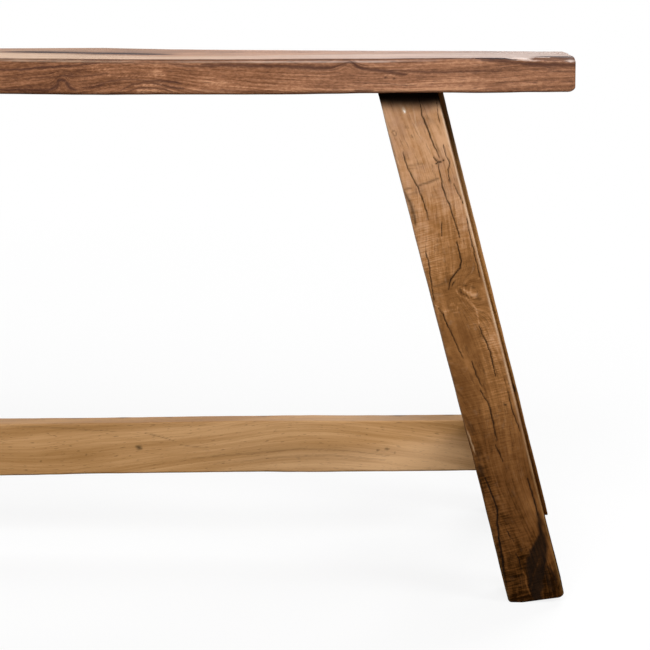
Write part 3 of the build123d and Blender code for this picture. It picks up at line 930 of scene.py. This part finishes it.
def flush_pegs(plan, height, on_inner, on_outer, side, end):
    """A post's two pegs, for the pegs' own piece. Each runs from the lowest level of the
    inner side around it to the highest of the outer side, so its ends are cut flush."""
    for up in peg_ups:
        levels = []
        for on_side, offset in ((on_inner, 0), (on_outer, leg_width * sin(splay))):
            gap = np.hypot(plan[:, 1] - peg_in, height - up * cos(splay) - offset)
            levels.append(plan[on_side & (gap < 1.3 * peg_radius), 0])
        peg, faces = pin(levels[0].min(), levels[1].max(), peg_radius)
        peg_up = up + peg[:, 2]
        x = side * (leg_foot_x - peg_up * sin(splay) + peg[:, 0] * cos(splay))
        y = end * (leg_face_y - peg_in - peg[:, 1])
        z = peg_up * cos(splay) + peg[:, 0] * sin(splay)
        peg_skins.append(np.stack([x, y, z], axis=1))
        peg_faces.append(faces[:, ::-1] if side * end > 0 else faces)


def make_leg(node, side, end, heel_rise, heel_corner, seed):
    """A leaning post and its pegs. On the lattice, X runs across it from its inner side, Y
    inwards from its outer face and Z up; its rows are then slid along the splay, so that
    they stay level. A face has its points, the column that runs across it and its width."""
    points, quads = lattice(
        lines_between(0, leg_width, leg_steps[0], leg_arris),
        lines_between(0, leg_depth, leg_steps[1], leg_arris),
        np.linspace(0, leg_top, leg_rows),
    )
    faces = {
        "outer face": (points[:, 1] == 0, 0, leg_width),
        "inner face": (points[:, 1] == leg_depth, 0, leg_width),
        "inner side": (points[:, 0] == 0, 1, leg_depth),
        "outer side": (points[:, 0] == leg_width, 1, leg_depth),
    }
    marks = painted_faces(points, faces, side, end, seed)
    plan, height = worn_post(points, marks[0], end, heel_rise, heel_corner, seed)
    fields = post_looks(points, plan, height, marks, side, end, seed)
    x = side * (leg_foot_x - height * tan(splay) + plan[:, 0] / cos(splay))
    y = end * (leg_face_y - plan[:, 1])
    skin = np.stack([x, y, height], axis=1)
    quads = quads[:, ::-1] if side * end > 0 else quads
    make_piece(node + "_post", skin, quads, fields, leg_finishes[side], node)
    flush_pegs(plan, height, faces["inner side"][0], faces["outer side"][0], side, end)


peg_skins = []
peg_faces = []
make_leg("leg_front_right", 1, -1, 5.5 * mm, 6.5 * mm, 20)
make_leg("leg_rear_right", 1, 1, 0.3 * mm, 1.5 * mm, 40)
make_leg("leg_front_left", -1, -1, 3.5 * mm, 6.5 * mm, 60)
make_leg("leg_rear_left", -1, 1, 4 * mm, 5 * mm, 80)

# Cross rails: planed teak, tenoned and pegged into the legs. The top rails hold the seat's
# screws, and the lower rails take the stretcher through a wedged mortise.
rail_tones = [
    (0.0, (0.13, 0.055, 0.020)),
    (0.4, (0.22, 0.100, 0.038)),
    (0.75, (0.31, 0.150, 0.062)),
    (1.0, (0.39, 0.205, 0.095)),
]
rail_dark = (0.060, 0.026, 0.012, 1)
rail_teak, wood = new_finish("rail_teak")
place = wood.place()
growth = place.part("Z") + place.part("X") * 0.45 + (place.noise(6, 1) - 0.5) * 0.03
rings, fibres, pores = grain(wood, growth, place.part("Y"), place.part("X"))
tone = rings * 0.5 + fibres * 0.3 + place.noise(24, 2).between(0.3, 0.7) * 0.25
colour = tone.node("ValToRGB", {"stops": rail_tones}, {0: tone})
colour = (pores * 0.5).tint(colour, rail_dark)
relief = fibres * 0.5 + rings * 0.3 - pores * 0.7
coat(wood, colour, 0.5 + fibres * 0.1, relief, 0.15 * mm, specular=0.35)


def refinish(node, finish):
    """Puts a finish on a piece that comes from the solids as it is."""
    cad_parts[node].data.materials.clear()
    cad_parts[node].data.materials.append(finish)


for node in ("top_rail_right", "top_rail_left", "lower_rail_right", "lower_rail_left"):
    refinish(node, rail_teak)

# Stretcher: one long honey-coloured teak board, planed and oiled, which has sagged a
# little. Its shouldered tenons go through the lower rails and are wedged outside.
stretcher_tones = [
    (0.0, (0.290, 0.140, 0.044)),
    (0.35, (0.370, 0.190, 0.066)),
    (0.65, (0.450, 0.243, 0.096)),
    (1.0, (0.570, 0.325, 0.145)),
]
stretcher_dark = (0.075, 0.042, 0.016, 1)
stretcher_pale = (0.66, 0.47, 0.31, 1)
stretcher_height = 47 * mm
stretcher_thickness = 25 * mm
stretcher_top = 122 * mm
stretcher_sag = 8 * mm
stretcher_arris = 2 * mm
stretcher_tenon_height = 28 * mm
stretcher_tenon_thickness = 14 * mm
rail_level_thickness = 30 * mm / cos(splay)
wedge_depth = 24 * mm
# Where the tenon's cheeks start inside the board and end behind the rail's face, and half the
# slot between them: where the wedge begins, and how much more at its thick end
cheek_start = 6 * mm
cheek_set_back = 0.2 * mm
slot_half = 0.5 * mm
slot_spread = 1.2 * mm
# The growth rings rise in an arch near the right end
arch_middle = 541 * mm
arch_reach = 160 * mm
arch_rise = 28 * mm
stretcher_teak, wood = new_finish("stretcher_teak")
place = wood.place()
growth = wood.field("growth")
rings, fibres, pores = grain(wood, growth, place.part("X"), place.part("Y"))
bands = wood.joined(growth, place.part("X") * 0.03, 0).noise(75, 1).between(0.3, 0.7)
broad = wood.joined(place.part("X") * 0.2, place.part("Y"), place.part("Z") * 0.4).noise(16, 2)
tone = bands * 0.42 + rings * 0.24 + fibres * 0.20 + broad.between(0.3, 0.7) * 0.24 - 0.05
tone = tone + wood.field("shade")
colour = tone.node("ValToRGB", {"stops": stretcher_tones}, {0: tone})
dashes = wood.joined(growth, place.part("X") * 0.12, place.part("Y") * 0.4).noise(1200, 1)
colour = (dashes.between(0.64, 0.74) * 0.5).tint(colour, stretcher_dark)
colour = (wood.field("pale") * 0.5).tint(colour, stretcher_pale)
colour = wood.field("dark").tint(colour, stretcher_dark)
relief = fibres * 0.4 + rings * 0.3 - pores * 0.5
coat(wood, colour, 0.52 + fibres * 0.1, relief, 0.08 * mm, specular=0.15)

# Stains and specks on the front, as (along, height) in mm with half widths and strengths
stretcher_stains = [
    ([(370, 94.6), (373.5, 93)], 2.4, 0.9),
    ([(280.4, 80.2), (281.4, 79.8)], 0.9, 0.7),
    ([(322.8, 87.1), (324, 86.9)], 0.8, 0.6),
    ([(588.8, 93.7), (590.2, 93.4)], 1.2, 0.75),
    ([(596, 95), (599, 94.4)], 1.1, 0.8),
    ([(603.6, 91.2), (604.8, 90.9)], 0.9, 0.6),
    ([(377, 107.5), (390, 104.5), (404, 100.5)], 0.45, 0.55),
    ([(408, 97), (420, 95.4), (434, 94.2)], 0.45, 0.5),
    ([(250, 113), (300, 111.5), (352, 108.6)], 0.5, 0.35),
    ([(420, 84), (470, 89), (520, 94), (560, 93), (600, 88)], 0.6, 0.3),
    ([(440, 79), (500, 86), (548, 88.5), (596, 84)], 0.6, 0.25),
]
# Broad lighter and darker parts of the front: along, height, spread along and spread up,
# in mm, and the change of tone. The lighter ones at 605, 635 and 640 mm are partly painted
# light, making up for the legs' shade, and the darker one at 672 mm, beside the right front
# leg, is painted shade
stretcher_patches = [
    (420, 112, 80, 9, 0.44),
    (305, 92, 26, 16, -0.12),
    (605, 80, 30, 7, 0.15),
    (520, 110, 70, 9, 0.26),
    (420, 96, 120, 8, 0.14),
    (560, 82, 70, 7, 0.22),
    (630, 92, 50, 14, 0.25),
    (635, 82, 35, 7, 0.25),
    (270, 74, 70, 6, -0.18),
    (334, 112, 22, 8, -0.09),
    (334, 78, 22, 7, -0.10),
    (500, 98, 60, 5, 0.05),
    (640, 100, 40, 30, 0.17),
    (672, 112, 8, 20, -0.24),
]
# Stains along the back of the top: along and half width, in mm, and strength
edge_stains = [(311, 6, 0.6), (354, 4, 0.7), (397, 4, 0.6), (484, 4, 0.7), (607, 6, 0.8), (654, 7, 0.8)]
# How pale and how dark the top is, at places along the board in mm
top_pale = {240: 0.30, 330: 0.16, 420: 0.08, 500: 0.17, 560: 0.35}
top_dark = {240: 0.46, 425: 0.33, 485: 0.25, 560: 0.14}


def stretcher_end(heights):
    """Distance from the middle of the bench to the legs' inner faces at some heights."""
    return leg_foot_x - heights * tan(splay)


def sagged(along):
    """How far the board's middle line has sagged along the bench: an arc, as a parabola."""
    return stretcher_sag * ((along / stretcher_end(stretcher_top)) ** 2 - 1)


# The board: its ends lean with the legs, its middle sags, and it is finest at the right end
points, quads = lattice(
    np.concatenate([np.linspace(-1, 0.26, 120), np.linspace(0.262, 1, 330)]),
    lines_between(-stretcher_thickness / 2, stretcher_thickness / 2, 2 * mm, stretcher_arris),
    lines_between(0, stretcher_height, mm, stretcher_arris),
)
size = np.array([stretcher_thickness / 2, stretcher_height])
radius = stretcher_arris * (1 + 0.3 * drift(points[:, :1], 0.12, 90))[:, None] * np.ones(2)
section, facing = soften(points[:, 1:], size * [-1, 0], size, radius)
worn_places = points * [0.67, 1, 1]
hollows = 0.2 + 0.12 * drift(worn_places, 0.12, 91) + 0.06 * drift(worn_places, 0.025, 92)
section -= facing * np.clip(hollows, 0.05, 1)[:, None] * mm
rough_x = points[:, 0] * stretcher_end(stretcher_top)
in_mm = rough_x / mm
up_share = section[:, 1] / stretcher_height
wider = 3.2 / (1 + np.exp((np.abs(in_mm) - 272) / 34)) - 0.5 * bell(in_mm - 450, 95)
crown = 1.45 * bell(in_mm - 470, 130)
height = stretcher_top - stretcher_height + section[:, 1] + sagged(rough_x)
height += (crown * up_share - wider * (1 - up_share)) * mm
along = points[:, 0] * stretcher_end(height)
arch = arch_rise * bell(along - arch_middle, arch_reach)
waves = drift(np.stack([along * 0.3, height], axis=1), 0.07, 93)
growth = height - arch + section[:, 0] * 0.4 + 2.5 * mm * waves

# Its looks: stains, a dark lower edge, pale fresh wood low on the front, and broad patches
along_mm = along / mm
front = np.clip((-stretcher_thickness / 2 + 2.2 * mm - section[:, 0]) / mm, 0, 1)
places = np.stack([along, height], axis=1) / mm
places += 0.3 * np.stack([drift(places, 9, 94), drift(places, 7, 95)], axis=1)
dark = front * painted(places, stretcher_stains, 0.5)
top = np.clip((facing[:, 1] - 0.4) * 3, 0, 1)
back = np.clip((section[:, 0] / mm - 5) / 4, 0, 1)
for x, half_width, strength in edge_stains:
    dark = np.maximum(dark, strength * top * back * bell(along_mm - x, half_width))
bottom = bell(section[:, 1] / mm - 0.6, 0.7) * (section[:, 0] < 0)
dark = np.maximum(dark, 0.35 * bottom)
low_down = np.clip((128 - places[:, 1] - arch / mm) / 12, 0, 1)
fresh = front * low_down * bell(along_mm - 600, 110)
pale = np.maximum(top * read_off(along_mm, top_pale), 0.35 * fresh)
shade = -top * read_off(along_mm, top_dark)
for *oval, change in stretcher_patches:
    shade += change * front * patch(places, *oval)


def together(skins, faces):
    """One set of points and quads out of several."""
    starts = np.cumsum([0] + [len(skin) for skin in skins])
    return np.concatenate(skins), np.concatenate([quads + start for quads, start in zip(faces, starts)])


# Tenons: each is a pair of cheeks that the wedge has spread apart
cheek_points, cheek_quads = lattice(np.linspace(0, 1, 12), np.linspace(0, 1, 5), np.linspace(0, 1, 20))
stretcher_middle = stretcher_top - stretcher_height / 2
wedge_start = stretcher_end(stretcher_middle) + rail_level_thickness - wedge_depth
sets = [(np.stack([along, section[:, 0], height], axis=1), quads, growth, dark, pale, shade)]
for side in (1, -1):
    for end in (1, -1):
        z = stretcher_middle + (cheek_points[:, 2] - 0.5) * stretcher_tenon_height
        root = stretcher_end(z) - cheek_start
        tip = stretcher_end(z) + rail_level_thickness - cheek_set_back
        x = root + (tip - root) * cheek_points[:, 0]
        slot = slot_half + np.clip((x - wedge_start) / wedge_depth, 0, 1) * slot_spread
        y = slot + (stretcher_tenon_thickness / 2 - slot) * cheek_points[:, 1]
        skin = np.stack([side * x, end * y, z], axis=1)
        faces = cheek_quads[:, ::-1] if side * end < 0 else cheek_quads
        clean = np.zeros(len(skin))
        sets.append((skin, faces, z + y * 0.4, clean + 0.15, clean, clean))
points, quads = together([one[0] for one in sets], [one[1] for one in sets])
fields = {}
for number, name in enumerate(("growth", "dark", "pale", "shade"), 2):
    fields[name] = np.concatenate([one[number] for one in sets])
make_piece("stretcher_board", points, quads, fields, stretcher_teak, "stretcher")

# Wedges, pegs and dowels: darker hardwood. Pegs and dowels are turned pins; the wedges
# spread the stretcher's tenons. All are cut flush where they show.
peg_tones = [(0.0, (0.10, 0.048, 0.020)), (0.5, (0.20, 0.105, 0.048)), (1.0, (0.34, 0.190, 0.095))]
peg_hardwood, wood = new_finish("peg_hardwood")
place = wood.place()
pores = place.noise(1400, 2).between(0.55, 0.75)
tone = place.noise(500, 3, 0.6).between(0.3, 0.7) * 0.6 + place.noise(60, 1) * 0.4
colour = tone.node("ValToRGB", {"stops": peg_tones}, {0: tone})
coat(wood, colour, 0.55 + pores * 0.1, tone - pores * 0.5, 0.1 * mm, specular=0.35)
for node in ("stretcher_wedges", "leg_dowels"):
    refinish(node, peg_hardwood)
points, quads = together(peg_skins, peg_faces)
make_piece("rail_pegs_turned", points, quads, {}, peg_hardwood, "rail_pegs")

# Screws: zinc-plated steel wood screws, dulled by age. They sit at the bottom of bores in
# the top rails and are driven up into the seat.
screw_steel, metal = new_finish("screw_steel")
place = metal.place()
dull = place.noise(300, 3, 0.6).between(0.35, 0.7)
colour = dull.tint((0.52, 0.50, 0.46, 1), (0.30, 0.27, 0.22, 1))
turned = metal.joined(place.part("X") * 0.2, place.part("Y") * 0.2, place.part("Z")).noise(1800, 2)
coat(metal, colour, 0.32 + dull * 0.2, turned + dull * 0.4, 0.05 * mm, metallic=1.0)
refinish("seat_screws", screw_steel)

# Studio: a plain pale floor, lit so that it fades to white, and a white background. A large
# soft key light stands in front, one at the right, and one behind that brightens the top.
floor_size = 40
floor_glow = 0.84
floor_pale = (0.12, 0.12, 0.12, 1)
floor_bounce = (0.10, 0.10, 0.10, 1)
floor_fade = (1.2, 3.0)
floor_mesh = bpy.data.meshes.new("floor")
floor_mesh.from_pydata(
    [(x * floor_size, y * floor_size, 0) for x, y in ((-1, -1), (1, -1), (1, 1), (-1, 1))],
    [],
    [(0, 1, 2, 3)],
)
floor = bpy.data.objects.new("floor", floor_mesh)
bpy.context.scene.collection.objects.link(floor)
floor_finish, stage = new_finish("floor_white")
glow = stage.node("Emission", values={"Color": (1, 1, 1, 1), "Strength": floor_glow})
shaded = stage.node("BsdfDiffuse", values={"Color": floor_pale})
near = stage.node("AddShader", values={0: glow, 1: shaded})
white = stage.node("Emission", values={"Color": (1, 1, 1, 1), "Strength": 1.0})
place = stage.place()
distance = (place.part("X") ** 2 + place.part("Y") ** 2) ** 0.5
seen = stage.node("MixShader", values={0: distance.between(*floor_fade), 1: near, 2: white})
matt = stage.node("BsdfDiffuse", values={"Color": floor_bounce})
rays = stage.node("LightPath", output="Is Camera Ray")
shader = stage.node("MixShader", values={0: rays, 1: matt, 2: seen})
stage.node("OutputMaterial", values={"Surface": shader})
floor_mesh.materials.append(floor_finish)

# The world: white to the camera, faint as a light, and bright to reflections from behind
ambient = 0.09
gloss_front = 0.05
gloss_back = 0.60
world = bpy.data.worlds.new("studio")
bpy.context.scene.world = world
world.use_nodes = True
world.node_tree.nodes.clear()
sky = Wire(world.node_tree)
backwards = sky.node("TexCoord", output="Generated").part("Y").between(0.1, 0.8)
gloss = gloss_front + backwards * (gloss_back - gloss_front)
glossy = sky.node("LightPath", output="Is Glossy Ray")
seen = sky.node("LightPath", output="Is Camera Ray")
unseen = ambient + glossy * (gloss - ambient)
strength = unseen + seen * (1 - unseen)
background = sky.node("Background", values={"Color": (1, 1, 1, 1), "Strength": strength})
sky.node("OutputWorld", values={"Surface": background})

lamp_distance = 9
lamp_aim = (0.45, 0, 0.25)


def add_light(name, turn, climb, size, share):
    """A square lamp some way off that looks at the bench's right half, at a turn to the
    right of straight in front and a climb, both in degrees. Its share is the brightness
    that it gives a white surface which faces it."""
    turned = Matrix.Rotation(radians(turn), 4, "Z") @ Matrix.Rotation(radians(90 - climb), 4, "X")
    lamp = bpy.data.lights.new(name, "AREA")
    lamp.size = size
    lamp.energy = share * pi**2 * lamp_distance**2
    light = bpy.data.objects.new(name, lamp)
    away = Matrix.Translation((0, 0, lamp_distance))
    light.matrix_world = Matrix.Translation(lamp_aim) @ turned @ away
    bpy.context.scene.collection.objects.link(light)


add_light("key", -7, 36, 4.8, 0.98)
add_light("side", 62, 35, 3.6, 0.5)
add_light("behind", 160, 40, 4.5, 0.78)
